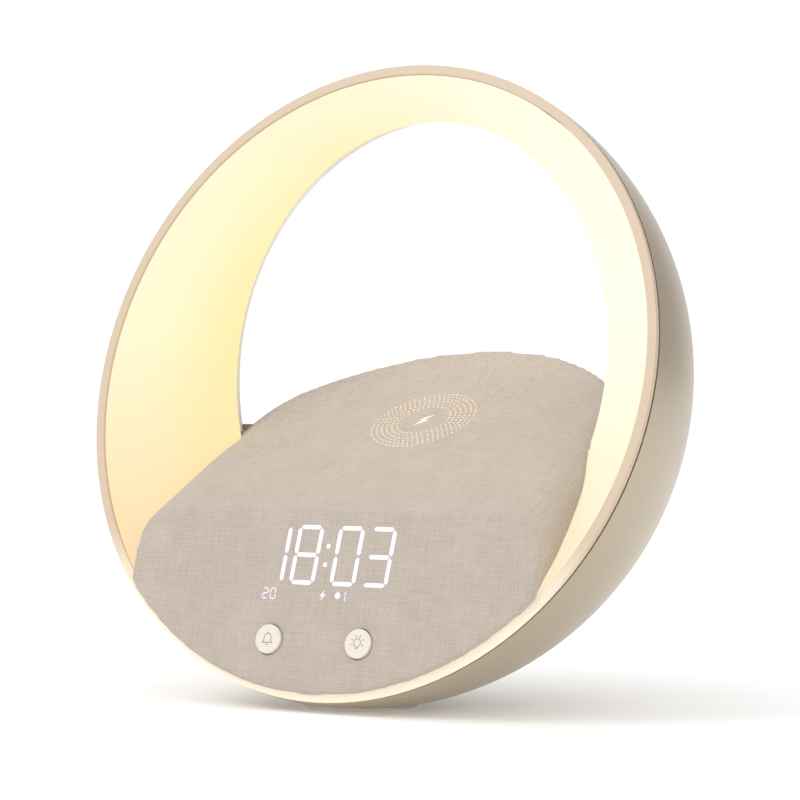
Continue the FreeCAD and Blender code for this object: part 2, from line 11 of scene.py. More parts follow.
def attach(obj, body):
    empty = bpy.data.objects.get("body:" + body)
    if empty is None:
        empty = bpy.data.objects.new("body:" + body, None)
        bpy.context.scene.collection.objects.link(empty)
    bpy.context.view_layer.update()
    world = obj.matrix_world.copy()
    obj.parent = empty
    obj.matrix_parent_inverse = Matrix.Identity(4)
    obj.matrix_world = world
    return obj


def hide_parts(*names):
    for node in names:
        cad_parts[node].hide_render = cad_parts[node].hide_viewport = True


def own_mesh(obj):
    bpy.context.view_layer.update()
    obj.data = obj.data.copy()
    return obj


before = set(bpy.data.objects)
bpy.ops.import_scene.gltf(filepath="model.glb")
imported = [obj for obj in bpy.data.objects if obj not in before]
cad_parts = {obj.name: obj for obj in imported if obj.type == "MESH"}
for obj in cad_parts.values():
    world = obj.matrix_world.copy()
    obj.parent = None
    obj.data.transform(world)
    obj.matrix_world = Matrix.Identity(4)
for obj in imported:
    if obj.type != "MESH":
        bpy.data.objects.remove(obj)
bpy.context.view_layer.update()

bl_info = {
    "name": "Sunrise Alarm Clock",
    "version": (1, 0, 0),
    "blender": (4, 5, 0),
    "location": "3D View > Sidebar > Clock",
    "description": "Fabric skin, lights, icons and finishes of a bedside sunrise alarm clock",
    "category": "Object",
}

MM = 0.001

# Sizes that follow the CAD model
LEAN = math.radians(15.4)
RIM_HEIGHT = 115.2 * MM
FACE_PROUD = 4.0 * MM
BUTTON_PROUD = 1.2 * MM
BUTTON_SPACING = 37.0 * MM
BUTTON_RISE = -95.1 * MM
BUTTON_HOLE_RADIUS = 5.45 * MM
BUTTON_HOLE_DEPTH = 6.0 * MM
PAD_SLOPE = math.radians(43.07)
PAD_OFFSET = 33.0 * MM
PAD_RADIUS = 84.0 * MM
PAD_CENTRE = Vector((0.0, 23.0 * MM, -24.3 * MM))
MARK_DEPTH = 43.8 * MM
MARK_RISE = -4.7 * MM

# Sizes of the pieces that dress it
MARK_LIFT = 0.06 * MM
MERGE_DISTANCE = 0.01 * MM
INNER_SKIN_REACH = 0.7 * MM
WALL_REACH = 1.6 * MM
WALLS_ROUND_BODY = ("diffuser_wall", "rear_cover", "ring_back_wall", "outer_shell")
LIGHT_PROUD = 0.08 * MM
LIGHT_SUNK = 0.3 * MM
INK_WIDTH = 0.3 * MM
INK_PROUD = 0.03 * MM
INK_THICKNESS = 0.2 * MM
MARK_HALF_THICKNESS = 0.12 * MM
COIL_WIRE = 0.8 * MM

# Where the lit wall changes colour, in depth, side and rise in the ring's frame
GLOW_DEPTHS = (4.0 * MM, 34.0 * MM)
GLOW_SIDES = (60.0 * MM, -60.0 * MM)
GLOW_RISES = (40.0 * MM, -90.0 * MM)
# Painted light: between these rises the rim's lower part glows, standing in for lamp light that shines past
# the body
RIM_LAMP_SPILL_RISES = (-52.0 * MM, -88.0 * MM)

# Places on the stage, and the direction in which the sky is darker, behind the clock to its right
MIDDLE = (0.0, 0.02, 0.11)
KEY_PLACE = (-0.9, -1.3, 1.5)
FILL_PLACE = (1.6, -0.5, 0.6)
SOFT_LIGHT_SIZE = 1.0
LAMP_LIGHT_SIZE = 0.12
LAMP_DEPTH = 30.0 * MM
LAMP_RISE = 86.0 * MM
CAMERA_AIM = Vector((0.0114, 0.0074, 0.1112))
DARK_SIDE = (0.62, 0.72, 0.32)

RING_AXIS = Vector((0.0, math.cos(LEAN), -math.sin(LEAN)))
RING_TO_PART = Matrix.Translation((0.0, 0.0, RIM_HEIGHT)) @ Matrix.Rotation(-LEAN, 4, "X")
PART_TO_RING = RING_TO_PART.inverted()
PAD_NORMAL = Vector((0.0, -math.sin(PAD_SLOPE), math.cos(PAD_SLOPE)))
PAD_RUN = Vector((0.0, math.cos(PAD_SLOPE), math.sin(PAD_SLOPE)))


def srgb(red, green, blue):
    """Linear colour of a screen colour given from 0 to 255."""
    channels = []
    for value in (red, green, blue):
        share = value / 255
        channels.append(share / 12.92 if share <= 0.04045 else ((share + 0.055) / 1.055) ** 2.4)
    return (*channels, 1.0)


# Settings

class ClockFinish(bpy.types.PropertyGroup):
    """Colours of the clock's surfaces."""

    shell: bpy.props.FloatVectorProperty(
        name="Shell", description="Satin paint of the round casing", subtype="COLOR",
        size=4, min=0, max=1, default=srgb(186, 172, 150))
    rim: bpy.props.FloatVectorProperty(
        name="Rim", description="Beige of the band round the front", subtype="COLOR",
        size=4, min=0, max=1, default=srgb(200, 180, 157))
    fabric_light: bpy.props.FloatVectorProperty(
        name="Fabric, light threads", description="Lighter of the two yarns", subtype="COLOR",
        size=4, min=0, max=1, default=srgb(205, 195, 184))
    fabric_dark: bpy.props.FloatVectorProperty(
        name="Fabric, dark threads", description="Darker of the two yarns", subtype="COLOR",
        size=4, min=0, max=1, default=srgb(161, 148, 136))
    button: bpy.props.FloatVectorProperty(
        name="Buttons", description="Cream of the push buttons", subtype="COLOR",
        size=4, min=0, max=1, default=srgb(218, 210, 198))
    glow_top: bpy.props.FloatVectorProperty(
        name="Glow, top", description="Light of the upper lit wall", subtype="COLOR",
        size=4, min=0, max=1, default=srgb(255, 254, 236))
    glow_throat: bpy.props.FloatVectorProperty(
        name="Glow, throat", description="Light of the lit wall near the throat", subtype="COLOR",
        size=4, min=0, max=1, default=srgb(255, 238, 172))
    glow_low: bpy.props.FloatVectorProperty(
        name="Glow, low", description="Light of the lower lit wall", subtype="COLOR",
        size=4, min=0, max=1, default=srgb(252, 216, 170))
    glow_strength: bpy.props.FloatProperty(
        name="Glow strength", description="Brightness of the lit wall", default=0.85, min=0, max=10)
    digit: bpy.props.FloatVectorProperty(
        name="Digits", description="Colour of the lit digits", subtype="COLOR",
        size=4, min=0, max=1, default=srgb(240, 226, 246))


class ClockFabric(bpy.types.PropertyGroup):
    """Make of the stretched fabric skin."""

    mesh_size: bpy.props.FloatProperty(
        name="Mesh size", description="Size of the skin's faces", default=1.3 * MM,
        min=0.5 * MM, max=5 * MM, unit="LENGTH", precision=4)
    softening: bpy.props.IntProperty(
        name="Softening", description="Rounds of smoothing at its edges", default=14, min=0, max=40)
    thickness: bpy.props.FloatProperty(
        name="Thickness", description="Thickness of the fabric", default=0.8 * MM,
        min=0.1 * MM, max=3 * MM, unit="LENGTH", precision=4)
    thread_pitch: bpy.props.FloatProperty(
        name="Thread pitch", description="Distance between two threads", default=0.72 * MM,
        min=0.2 * MM, max=5 * MM, unit="LENGTH", precision=5)


class ClockDisplay(bpy.types.PropertyGroup):
    """Digits and small marks that shine through the fabric."""

    hours: bpy.props.IntProperty(name="Hours", description="Hours shown", default=18, min=0, max=23)
    minutes: bpy.props.IntProperty(name="Minutes", description="Minutes shown", default=3, min=0, max=59)
    height: bpy.props.FloatProperty(
        name="Height", description="Height of a digit", default=19.5 * MM, unit="LENGTH")
    width: bpy.props.FloatProperty(
        name="Width", description="Width of a digit between its strokes", default=9.0 * MM, unit="LENGTH")
    stroke: bpy.props.FloatProperty(
        name="Stroke", description="Width of a stroke", default=1.5 * MM, unit="LENGTH")
    centre: bpy.props.FloatProperty(
        name="Inner centre", description="Inner digits' distance from the middle", default=8.4 * MM,
        unit="LENGTH")
    pitch: bpy.props.FloatProperty(
        name="Pitch", description="Distance between two digits of a pair", default=13.1 * MM, unit="LENGTH")
    rise: bpy.props.FloatProperty(
        name="Rise", description="Digits' middle above the rim's centre", default=-65.0 * MM, unit="LENGTH")
    marks_rise: bpy.props.FloatProperty(
        name="Marks rise", description="Small marks' middle above the rim's centre", default=-79.0 * MM,
        unit="LENGTH")
    slant: bpy.props.FloatProperty(
        name="Slant", description="Lean of the digits to the right", default=math.radians(2.5),
        subtype="ANGLE")
    brightness: bpy.props.FloatProperty(
        name="Brightness", description="Strength of the lit digits", default=0.85, min=0, max=20)


class ClockMark(bpy.types.PropertyGroup):
    """Dotted ring on the charging pad."""

    outer_radius: bpy.props.FloatProperty(
        name="Outer radius", description="Radius of the outermost dots", default=19.5 * MM, unit="LENGTH")
    ring_pitch: bpy.props.FloatProperty(
        name="Ring pitch", description="Distance between two rings of dots", default=1.9 * MM,
        unit="LENGTH")
    rings: bpy.props.IntProperty(name="Rings", description="Number of rings", default=6, min=1, max=12)
    dot_radius: bpy.props.FloatProperty(
        name="Dot radius", description="Radius of one dot", default=0.42 * MM, unit="LENGTH", precision=5)
    seed: bpy.props.IntProperty(
        name="Seed", description="Fixed seed of the dots' small differences", default=7)


class ClockStage(bpy.types.PropertyGroup):
    """Floor, lights and camera."""

    floor: bpy.props.FloatVectorProperty(
        name="Floor", description="Pale floor and backdrop", subtype="COLOR",
        size=4, min=0, max=1, default=(0.93, 0.93, 0.93, 1.0))
    sky: bpy.props.FloatProperty(
        name="Sky", description="Strength of the even studio light", default=1.05, min=0, max=10)
    under: bpy.props.FloatProperty(
        name="Floor glow", description="Light that the floor itself gives", default=0.16, min=0, max=2)
    shade: bpy.props.FloatProperty(
        name="Shade", description="How much darker the studio is behind the clock's right", default=0.68,
        min=0, max=1)
    lamp: bpy.props.FloatProperty(
        name="Lamp light", description="Power of the warm light that the ring throws on the pad",
        default=0.03, min=0, unit="POWER")
    key: bpy.props.FloatProperty(
        name="Key light", description="Power of the large soft light", default=9.0, min=0, unit="POWER")
    fill: bpy.props.FloatProperty(
        name="Fill light", description="Power of the light from the right", default=5.0, min=0,
        unit="POWER")
    lens: bpy.props.FloatProperty(
        name="Lens", description="Focal length of the camera", default=135.0, min=10, unit="CAMERA")
    distance: bpy.props.FloatProperty(
        name="Distance", description="Camera's distance from the turning point", default=1.046,
        min=0.1, unit="LENGTH")
    turn: bpy.props.FloatProperty(
        name="Turn", description="Camera's turn to the right of the front", default=math.radians(32.91),
        subtype="ANGLE")
    tilt: bpy.props.FloatProperty(
        name="Tilt", description="Camera's tilt below level", default=math.radians(0.24), subtype="ANGLE")


SETTINGS = {
    "clock_finish": ClockFinish,
    "clock_fabric": ClockFabric,
    "clock_display": ClockDisplay,
    "clock_mark": ClockMark,
    "clock_stage": ClockStage,
}


# Helpers for meshes

def ring_point(x, depth, rise):
    """Place in the part's frame of a point given in the ring's frame."""
    return RING_TO_PART @ Vector((x, depth, rise))


def link_mesh(name, mesh):
    """New object in the scene that shows a mesh."""
    made = bpy.data.objects.new(name, mesh)
    bpy.context.scene.collection.objects.link(made)
    return made


def mesh_from(name, work):
    """Plain mesh object made of a finished bmesh."""
    mesh = bpy.data.meshes.new(name)
    work.to_mesh(mesh)
    work.free()
    return link_mesh(name, mesh)


def settle(piece):
    """Turn a piece's modifiers into its plain mesh."""
    depsgraph = bpy.context.evaluated_depsgraph_get()
    mesh = bpy.data.meshes.new_from_object(piece.evaluated_get(depsgraph))
    piece.modifiers.clear()
    piece.data = mesh
    return piece


def smooth_shade(piece, edge_angle=math.radians(40)):
    """Smooth shading with edges kept sharp past an angle."""
    piece.data.shade_smooth()
    piece.data.set_sharp_from_angle(angle=edge_angle)


def add_prism(work, outline, front, back, place):
    """Closed plate with an outline in x and rise, between two depths."""
    near = [work.verts.new(place(x, front, rise)) for x, rise in outline]
    far = [work.verts.new(place(x, back, rise)) for x, rise in outline]
    count = len(outline)
    work.faces.new(near)
    work.faces.new(reversed(far))
    for index in range(count):
        after = (index + 1) % count
        work.faces.new((near[after], near[index], far[index], far[after]))


def add_strip(work, path, width, front, back, place, closed=False):
    """Closed plate along a path in x and rise, like a drawn line."""
    points = [Vector(point) for point in path]
    count = len(points)
    left, right = [], []
    for index, point in enumerate(points):
        before = points[index - 1] if closed or index else point
        after = points[(index + 1) % count] if closed or index < count - 1 else point
        along = (after - before).normalized()
        across = Vector((-along.y, along.x)) * width / 2
        left.append(point + across)
        right.append(point - across)
    for index in range(count if closed else count - 1):
        after = (index + 1) % count
        add_prism(work, [left[index], right[index], right[after], left[after]], front, back, place)


def close_normals(work):
    """Point every closed form's faces outward."""
    bmesh.ops.recalc_face_normals(work, faces=work.faces[:])


# Helpers for materials

def node(tree, kind, inputs=None, **settings):
    """Add a shader or geometry node, with its settings and its inputs' values or links."""
    made = tree.nodes.new(kind)
    for key, value in settings.items():
        setattr(made, key, value)
    for key, value in (inputs or {}).items():
        if isinstance(value, bpy.types.NodeSocket):
            tree.links.new(value, made.inputs[key])
        else:
            made.inputs[key].default_value = value
    return made


def calc(tree, operation, first, second=0.0, third=0.0, clamp=False):
    """Result of a Math node."""
    inputs = {0: first, 1: second, 2: third}
    return node(tree, "ShaderNodeMath", inputs, operation=operation, use_clamp=clamp).outputs[0]


def between(tree, value, low, high):
    """Share of the way from low to high, held between 0 and 1 and eased."""
    inputs = {"Value": value, "From Min": low, "From Max": high}
    return node(tree, "ShaderNodeMapRange", inputs, interpolation_type="SMOOTHSTEP").outputs[0]


def blend_colours(tree, share, first, second):
    """Mix of two colours."""
    made = node(tree, "ShaderNodeMix", data_type="RGBA")
    pairs = (("Factor_Float", share), ("A_Color", first), ("B_Color", second))
    for name, value in pairs:
        socket = next(one for one in made.inputs if one.identifier == name)
        if isinstance(value, bpy.types.NodeSocket):
            tree.links.new(value, socket)
        else:
            socket.default_value = value
    return next(one for one in made.outputs if one.identifier == "Result_Color")


def blend_values(tree, share, first, second):
    """Number between two numbers."""
    return calc(tree, "MULTIPLY_ADD", calc(tree, "SUBTRACT", second, first), share, first)


def shade(colour, factor):
    """A colour made darker or lighter."""
    return (*(min(1.0, channel * factor) for channel in colour[:3]), 1.0)


class Finish:
    """One material, with its shader, its object coordinates and its noise."""

    def __init__(self, name, roughness=0.5, metallic=0.0, **sockets):
        self.material = bpy.data.materials.new(name)
        self.material.use_nodes = True
        self.tree = self.material.node_tree
        self.shader = self.tree.nodes["Principled BSDF"]
        self.place = node(self.tree, "ShaderNodeTexCoord").outputs["Object"]
        self.set("Roughness", roughness)
        self.set("Metallic", metallic)
        for key, value in sockets.items():
            self.set(key.replace("_", " "), value)

    def set(self, socket, value):
        if isinstance(value, bpy.types.NodeSocket):
            self.tree.links.new(value, self.shader.inputs[socket])
        else:
            self.shader.inputs[socket].default_value = value

    def noise(self, scale, detail=3.0, rough=0.5, place=None):
        inputs = {"Vector": place or self.place, "Scale": scale, "Detail": detail, "Roughness": rough}
        return node(self.tree, "ShaderNodeTexNoise", inputs).outputs["Fac"]

    def bump(self, height, strength, distance):
        inputs = {"Height": height, "Strength": strength, "Distance": distance}
        self.set("Normal", node(self.tree, "ShaderNodeBump", inputs).outputs["Normal"])

    def ring_place(self):
        """Coordinates in the ring's frame: x, depth and rise."""
        moved = node(self.tree, "ShaderNodeVectorMath", {0: self.place, 1: (0.0, 0.0, -RIM_HEIGHT)},
                     operation="ADD").outputs[0]
        turned = node(self.tree, "ShaderNodeVectorRotate", {"Vector": moved, "Angle": LEAN},
                      rotation_type="X_AXIS").outputs[0]
        return node(self.tree, "ShaderNodeSeparateXYZ", {0: turned}).outputs


def mottled(name, colour, roughness=0.5, metallic=0.0, spread=0.06, grain=900.0, relief=0.02, **sockets):
    """Moulded, cast or painted surface: soft colour variation, uneven gloss and a fine grain."""
    finish = Finish(name, roughness, metallic, **sockets)
    wide = finish.noise(35.0, 4.0)
    fine = finish.noise(grain, 2.0)
    share = calc(finish.tree, "MULTIPLY_ADD", fine, 0.35, calc(finish.tree, "MULTIPLY", wide, 0.65))
    low, high = shade(colour, 1 - spread), shade(colour, 1 + spread)
    finish.set("Base Color", blend_colours(finish.tree, share, low, high))
    finish.set("Roughness", calc(finish.tree, "MULTIPLY_ADD", wide, 0.12, roughness - 0.06))
    finish.bump(fine, relief, 0.1 * MM)
    return finish.material


def brushed(name, colour, roughness=0.3, stretch=(1.0, 12.0, 12.0)):
    """Metal with fine lines from rolling or turning."""
    finish = Finish(name, roughness, 1.0)
    place = node(finish.tree, "ShaderNodeMapping", {"Vector": finish.place, "Scale": stretch}).outputs[0]
    lines = finish.noise(160.0, 5.0, 0.6, place)
    finish.set("Base Color", blend_colours(finish.tree, lines, shade(colour, 0.86), shade(colour, 1.1)))
    finish.set("Roughness", calc(finish.tree, "MULTIPLY_ADD", lines, 0.16, roughness - 0.08))
    finish.bump(lines, 0.05, 0.05 * MM)
    return finish.material


def shell_paint(name, colour):
    """Satin champagne paint with a fine metallic flake."""
    finish = Finish(name, 0.36, 0.6, Coat_Weight=0.2, Coat_Roughness=0.3)
    flake = finish.noise(2600.0, 2.0, 0.7)
    wide = finish.noise(14.0, 3.0)
    share = calc(finish.tree, "MULTIPLY_ADD", flake, 0.5, calc(finish.tree, "MULTIPLY", wide, 0.5))
    finish.set("Base Color", blend_colours(finish.tree, share, shade(colour, 0.92), shade(colour, 1.08)))
    finish.set("Roughness", calc(finish.tree, "MULTIPLY_ADD", flake, 0.1, 0.3))
    finish.bump(flake, 0.03, 0.05 * MM)
    return finish.material


def lit_wall(name, look):
    """Frosted wall with the lamp on behind it: pale at the top, yellow at the throat, peach below."""
    finish = Finish(name, 0.5, Base_Color=srgb(104, 92, 56))
    tree = finish.tree
    side, depth, rise = finish.ring_place()
    deep = between(tree, depth, *GLOW_DEPTHS)
    left = between(tree, side, *GLOW_SIDES)
    low = between(tree, rise, *GLOW_RISES)
    yellow = calc(tree, "MULTIPLY", left, calc(tree, "MULTIPLY_ADD", deep, 0.65, 0.35))
    low = calc(tree, "MULTIPLY", low, calc(tree, "MULTIPLY_ADD", left, 0.45, 0.55))
    colour = blend_colours(tree, yellow, look.glow_top, look.glow_throat)
    colour = blend_colours(tree, low, colour, look.glow_low)
    cloud = finish.noise(18.0, 2.0)
    finish.set("Emission Color", colour)
    finish.set("Emission Strength", calc(tree, "MULTIPLY_ADD", cloud, 0.06, look.glow_strength - 0.03))
    finish.bump(finish.noise(1500.0, 2.0), 0.02, 0.05 * MM)
    return finish.material


def rim_paint(name, look):
    """Satin beige band with painted light: it glows along its lower part, where the lamp shines past the
    body.
    """
    finish = Finish(name, 0.45)
    tree = finish.tree
    _, _, rise = finish.ring_place()
    grain = finish.noise(2200.0, 2.0)
    # Painted light: the rim's emission grows towards its bottom, standing in for lamp light that shines
    # past the body
    low = between(tree, rise, *RIM_LAMP_SPILL_RISES)
    finish.set("Base Color", blend_colours(tree, grain, shade(look.rim, 0.97), shade(look.rim, 1.03)))
    finish.set("Emission Color", look.glow_top)
    finish.set("Emission Strength", calc(tree, "MULTIPLY", low, 0.45))
    finish.bump(grain, 0.01, 0.05 * MM)
    return finish.material


def weave_height(tree, across, along):
    """Height of a plain weave, and which of the two thread sets is on top."""
    cell = calc(tree, "ADD", calc(tree, "FLOOR", across), calc(tree, "FLOOR", along))
    warp_on_top = calc(tree, "MODULO", calc(tree, "ABSOLUTE", cell), 2.0)
    warp = calc(tree, "ABSOLUTE", calc(tree, "SINE", calc(tree, "MULTIPLY", across, math.pi)))
    weft = calc(tree, "ABSOLUTE", calc(tree, "SINE", calc(tree, "MULTIPLY", along, math.pi)))
    over = calc(tree, "MULTIPLY", calc(tree, "SUBTRACT", warp, weft), warp_on_top)
    return calc(tree, "ADD", weft, over), warp_on_top


def woven_fabric(name, look, pitch):
    """Heathered plain weave, its threads along the piece's own map."""
    finish = Finish(name, 0.85, Sheen_Weight=0.25, Sheen_Roughness=0.5)
    tree = finish.tree
    flat = node(tree, "ShaderNodeUVMap", uv_map="weave").outputs["UV"]
    wander = finish.noise(220.0, 2.0)
    axes = node(tree, "ShaderNodeSeparateXYZ", {0: flat}).outputs
    bend = calc(tree, "MULTIPLY_ADD", wander, 0.5, -0.25)
    across = calc(tree, "ADD", calc(tree, "DIVIDE", axes[0], pitch), bend)
    along = calc(tree, "ADD", calc(tree, "DIVIDE", axes[1], pitch), bend)
    height, on_top = weave_height(tree, across, along)
    slub = node(tree, "ShaderNodeMapping", {"Vector": flat, "Scale": (90.0, 1100.0, 1.0)}).outputs[0]
    slub_other = node(tree, "ShaderNodeMapping", {"Vector": flat, "Scale": (1100.0, 90.0, 1.0)}).outputs[0]
    heather = blend_values(tree, on_top, finish.noise(1.0, 3.0, 0.6, slub),
                           finish.noise(1.0, 3.0, 0.6, slub_other))
    # Painted shade: the tone drops where the weave is low, so the gaps between the threads are darker
    crowns = calc(tree, "MULTIPLY_ADD", height, 0.55, -0.5)
    tone = calc(tree, "MULTIPLY_ADD", heather, 1.1, crowns, clamp=True)
    base = calc(tree, "SUBTRACT", tone, 0.15)
    cloud = calc(tree, "MULTIPLY_ADD", finish.noise(60.0, 3.0), 0.3, base, clamp=True)
    finish.set("Base Color", blend_colours(tree, cloud, look.fabric_dark, look.fabric_light))
    finish.bump(height, 0.55, 0.22 * MM)
    return finish.material


def lit_digit(name, look, strength, pitch):
    """Light seen through the fabric's weave."""
    finish = Finish(name, 0.7, Base_Color=shade(look.digit, 0.5))
    tree = finish.tree
    side, _, rise = finish.ring_place()
    height, _ = weave_height(tree, calc(tree, "DIVIDE", side, pitch), calc(tree, "DIVIDE", rise, pitch))
    wide = finish.noise(400.0, 2.0)
    power = calc(tree, "MULTIPLY_ADD", height, 0.3, calc(tree, "MULTIPLY_ADD", wide, 0.2, 0.65))
    finish.set("Emission Color", look.digit)
    finish.set("Emission Strength", calc(tree, "MULTIPLY", power, strength))
    return finish.material


def circuit_board(name):
    """Green solder mask over copper tracks."""
    finish = Finish(name, 0.35, Coat_Weight=0.3)
    tree = finish.tree
    scale = (320.0, 320.0, 320.0)
    place = node(tree, "ShaderNodeMapping", {"Vector": finish.place, "Scale": scale}).outputs[0]
    tracks = node(tree, "ShaderNodeTexBrick", {"Vector": place, "Scale": 1.0, "Mortar Size": 0.08,
                                               "Color1": (0, 0, 0, 1), "Color2": (0, 0, 0, 1),
                                               "Mortar": (1, 1, 1, 1)}).outputs["Fac"]
    wide = finish.noise(60.0, 3.0)
    mask = blend_colours(tree, wide, srgb(20, 84, 52), srgb(30, 104, 64))
    finish.set("Base Color", blend_colours(tree, tracks, mask, srgb(58, 138, 84)))
    finish.bump(tracks, 0.2, 0.05 * MM)
    return finish.material


def wound_copper(name):
    """Enamelled wire, turn beside turn about the coil's middle."""
    finish = Finish(name, 0.3, 1.0)
    tree = finish.tree
    side, depth, rise = finish.ring_place()
    run = calc(tree, "MULTIPLY", calc(tree, "SUBTRACT", depth, MARK_DEPTH), math.cos(PAD_SLOPE))
    run = calc(tree, "MULTIPLY_ADD", calc(tree, "SUBTRACT", rise, MARK_RISE), math.sin(PAD_SLOPE), run)
    radius = calc(tree, "SQRT", calc(tree, "ADD", calc(tree, "MULTIPLY", side, side),
                                     calc(tree, "MULTIPLY", run, run)))
    turns = calc(tree, "ABSOLUTE", calc(tree, "SINE", calc(tree, "MULTIPLY", radius, math.pi / COIL_WIRE)))
    finish.set("Base Color", blend_colours(tree, turns, srgb(120, 62, 34), srgb(206, 128, 84)))
    finish.bump(turns, 0.6, 0.3 * MM)
    return finish.material


# Pieces

def largest_part(work):
    """Keep only the connected part with the largest box."""
    work.verts.ensure_lookup_table()
    left = set(work.verts)
    parts = []
    while left:
        stack = [left.pop()]
        part = list(stack)
        while stack:
            for edge in stack.pop().link_edges:
                for vert in edge.verts:
                    if vert in left:
                        left.remove(vert)
                        stack.append(vert)
                        part.append(vert)
        parts.append(part)

    def reach(part):
        return sum(max(v.co[axis] for v in part) - min(v.co[axis] for v in part) for axis in range(3))

    parts.sort(key=reach)
    for part in parts[:-1]:
        bmesh.ops.delete(work, geom=part, context="VERTS")


def closed_body():
    """The fabric's outer face as one closed form, its button holes filled."""
    core = bmesh.new()
    core.from_mesh(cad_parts["body_core"].data)
    core_tree = BVHTree.FromBMesh(core)
    core.free()
    work = bmesh.new()
    work.from_mesh(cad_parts["fabric_cover"].data)
    bmesh.ops.remove_doubles(work, verts=work.verts[:], dist=MERGE_DISTANCE)

    def lies_inside(face):
        centre = face.calc_center_median()
        over_display = face.normal.dot(RING_AXIS) > 0.9 and (PART_TO_RING @ centre).y < -FACE_PROUD / 2
        return over_display or core_tree.find_nearest(centre)[3] < INNER_SKIN_REACH

    inner = [face for face in work.faces if lies_inside(face)]
    bmesh.ops.delete(work, geom=inner, context="FACES")
    largest_part(work)
    rims = [edge for edge in work.edges if edge.is_boundary]
    bmesh.ops.holes_fill(work, edges=rims, sides=0)
    bmesh.ops.triangulate(work, faces=work.faces[:])
    close_normals(work)
    return mesh_from("fabric_skin", work)


def against_walls(work, names, reach):
    """Faces that lie against one of the named nodes, which hides them."""
    hidden = set()
    for name in names:
        wall = bmesh.new()
        wall.from_mesh(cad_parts[name].data)
        tree = BVHTree.FromBMesh(wall)
        wall.free()
        for face in work.faces:
            start = face.calc_center_median() - face.normal * reach / 3
            if tree.ray_cast(start, face.normal, reach)[0] is not None:
                hidden.add(face)
    return list(hidden)


def even_hem(work, rounds):
    """Straighten the stepped edge that the fabric's hem has after its hidden faces are gone."""
    hem = {}
    for edge in work.edges:
        if edge.is_boundary:
            for vert in edge.verts:
                hem.setdefault(vert, []).append(edge.other_vert(vert))
    for _ in range(rounds):
        moved = {vert: (vert.co * 2 + ends[0].co + ends[1].co) / 4
                 for vert, ends in hem.items() if len(ends) == 2}
        for vert, spot in moved.items():
            vert.co = spot


def weave_map(mesh):
    """Map that carries the weave: flat on the face and the pad, rolled out on the sides and the back."""
    layer = mesh.uv_layers.new(name="weave")
    for face in mesh.polygons:
        normal = PART_TO_RING.to_3x3() @ face.normal
        for loop in face.loop_indices:
            place = PART_TO_RING @ mesh.vertices[mesh.loops[loop].vertex_index].co
            from_pad = place - PAD_CENTRE
            if abs(normal.x) > 0.8:
                spot = (place.y, place.z)
            elif normal.y < -0.8:
                spot = (place.x, place.z)
            elif normal.dot(PAD_NORMAL) > 0.6:
                spot = (place.x, from_pad.dot(PAD_RUN))
            else:
                turn = math.atan2(place.x, from_pad.dot(PAD_RUN))
                spot = (turn * PAD_RADIUS, from_pad.dot(PAD_NORMAL))
            layer.data[loop].uv = spot


def button_cutter(side):
    """Round punch for a button's hole through the face."""
    work = bmesh.new()
    bmesh.ops.create_cone(work, cap_ends=True, segments=64, radius1=BUTTON_HOLE_RADIUS,
                          radius2=BUTTON_HOLE_RADIUS, depth=BUTTON_HOLE_DEPTH)
    turn = Matrix.Rotation(math.radians(90), 4, "X")
    place = RING_TO_PART @ Matrix.Translation((side * BUTTON_SPACING / 2, -FACE_PROUD, BUTTON_RISE)) @ turn
    bmesh.ops.transform(work, matrix=place, verts=work.verts[:])
    return mesh_from("button_cutter", work)


class CLOCK_OT_fabric(bpy.types.Operator):
    """Stretch the woven skin over the body"""

    bl_idname = "clock.fabric"
    bl_label = "Fabric skin"

    def execute(self, context):
        make = context.scene.clock_fabric
        skin = closed_body()
        skin.modifiers.new("even", "REMESH").voxel_size = make.mesh_size
        soft = skin.modifiers.new("soft", "SMOOTH")
        soft.iterations = make.softening
        cutters = [button_cutter(side) for side in (-1, 1)]
        for cutter in cutters:
            hole = skin.modifiers.new("hole", "BOOLEAN")
            hole.object = cutter
            hole.solver = "EXACT"
        settle(skin)
        for cutter in cutters:
            bpy.data.objects.remove(cutter)
        work = bmesh.new()
        work.from_mesh(skin.data)
        hidden = against_walls(work, WALLS_ROUND_BODY, WALL_REACH)
        bmesh.ops.delete(work, geom=hidden, context="FACES")
        largest_part(work)
        even_hem(work, make.softening)
        area = sum(face.calc_area() for face in work.faces)
        if not area:
            raise RuntimeError("the fabric skin has no faces left")
        work.to_mesh(skin.data)
        work.free()
        wall = skin.modifiers.new("wall", "SOLIDIFY")
        wall.thickness = make.thickness
        wall.offset = -1
        settle(skin)
        weave_map(skin.data)
        smooth_shade(skin, math.radians(60))
        skin.data.materials.clear()
        look = context.scene.clock_finish
        skin.data.materials.append(woven_fabric("woven_fabric", look, make.thread_pitch))
        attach(skin, "housing")
        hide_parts("fabric_cover")
        return {"FINISHED"}


# Segments that are lit, named as on a seven-segment display
LIT = {0: "abcdef", 1: "bc", 2: "abged", 3: "abcdg", 4: "fgbc", 5: "afgcd", 6: "afgedc", 7: "abc",
       8: "abcdefg", 9: "abcdfg"}


# Outline of the small bolt below the digits, in millimetres
SMALL_BOLT = ((0.9, 2.0), (-0.9, -0.3), (0.1, -0.3), (-0.5, -2.0), (1.6, 0.5), (0.5, 0.5))


def segment_lines(width, height):
    """Middle line of each segment, about the digit's centre."""
    half, top = width / 2, height / 2
    return {
        "a": ((-half, top), (half, top)),
        "b": ((half, top), (half, 0)),
        "c": ((half, 0), (half, -top)),
        "d": ((-half, -top), (half, -top)),
        "e": ((-half, 0), (-half, -top)),
        "f": ((-half, top), (-half, 0)),
        "g": ((-half, 0), (half, 0)),
    }


